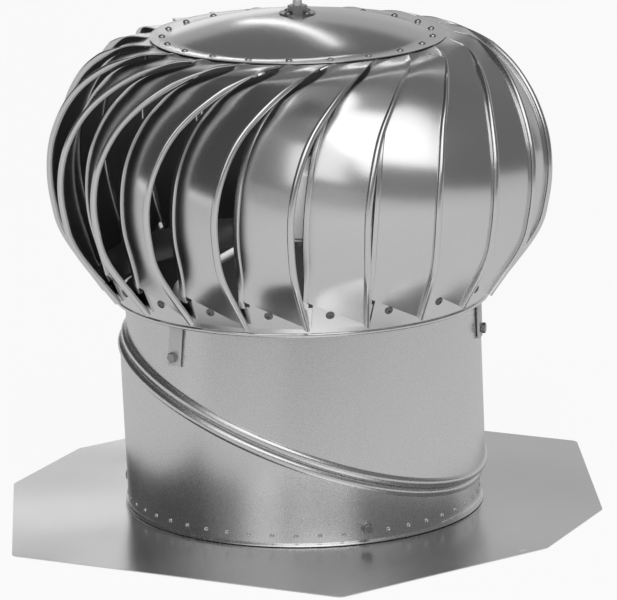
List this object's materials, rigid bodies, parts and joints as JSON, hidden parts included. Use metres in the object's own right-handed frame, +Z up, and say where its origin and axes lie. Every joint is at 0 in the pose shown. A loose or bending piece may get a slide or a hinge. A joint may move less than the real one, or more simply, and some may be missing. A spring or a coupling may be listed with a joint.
{
  "type": "turbine roof vent",
  "caption": "Wind-driven turbine roof vent: curved vanes between a riveted top plate and ring, spinning on a braced spindle above an adjustable two-part collar and flat flashing.",
  "frame": {"origin": "on the throat's axis, on the underside of the flashing", "axes": "+Z up along the throat and the rotor's spindle at rest; X and Y along the sides of the flashing's square"},
  "size_m": [0.508, 0.508, 0.44],
  "materials": {
    "flashing_sheet": "mill finish sheet",
    "collar_sheet": "satin sheet",
    "rotor_sheet": "bright mill finish sheet",
    "rivet": "plain",
    "steel": "galvanised",
    "zinc": "zinc plated",
    "bearing_polymer": "plain"
  },
  "bodies": {
    "base": {"roof_flashing": "flashing_sheet", "flashing_neck": "flashing_sheet", "lower_collar": "collar_sheet", "foot_screws": "zinc"},
    "neck": {"upper_collar": "collar_sheet", "leg_1": "steel", "leg_2": "steel", "leg_3": "steel", "leg_bolts": "zinc", "leg_nuts": "zinc", "bearing_housing": "steel", "upper_bearing": "bearing_polymer", "lower_bearing": "bearing_polymer"},
    "rotor": {"shaft": "steel", "thrust_collar": "steel", "retaining_ring": "steel", "hub_flange": "steel", "top_plate": "rotor_sheet", "top_washer": "zinc", "hub_rivets": "rivet", "top_nut": "zinc", "bottom_ring": "rotor_sheet", "vane_01": "rotor_sheet", "vane_02": "rotor_sheet", "vane_03": "rotor_sheet", "vane_04": "rotor_sheet", "vane_05": "rotor_sheet", "vane_06": "rotor_sheet", "vane_07": "rotor_sheet", "vane_08": "rotor_sheet", "vane_09": "rotor_sheet", "vane_10": "rotor_sheet", "vane_11": "rotor_sheet", "vane_12": "rotor_sheet", "vane_13": "rotor_sheet", "vane_14": "rotor_sheet", "vane_15": "rotor_sheet", "vane_16": "rotor_sheet", "vane_17": "rotor_sheet", "vane_18": "rotor_sheet", "vane_19": "rotor_sheet", "vane_20": "rotor_sheet", "vane_21": "rotor_sheet", "top_rivets": "rivet", "bottom_rivets": "rivet"}
  },
  "joints": [
    {"name": "collar_swivel", "type": "hinge", "parent": "base", "child": "neck", "pos_m": [0, 0, 0.0913], "axis": [0.3575, 0.0806, 0.9304], "continuous": true},
    {"name": "rotor_spin", "type": "hinge", "parent": "neck", "child": "rotor", "pos_m": [0, 0, 0.26], "axis": [0, 0, 1], "continuous": true}
  ]
}
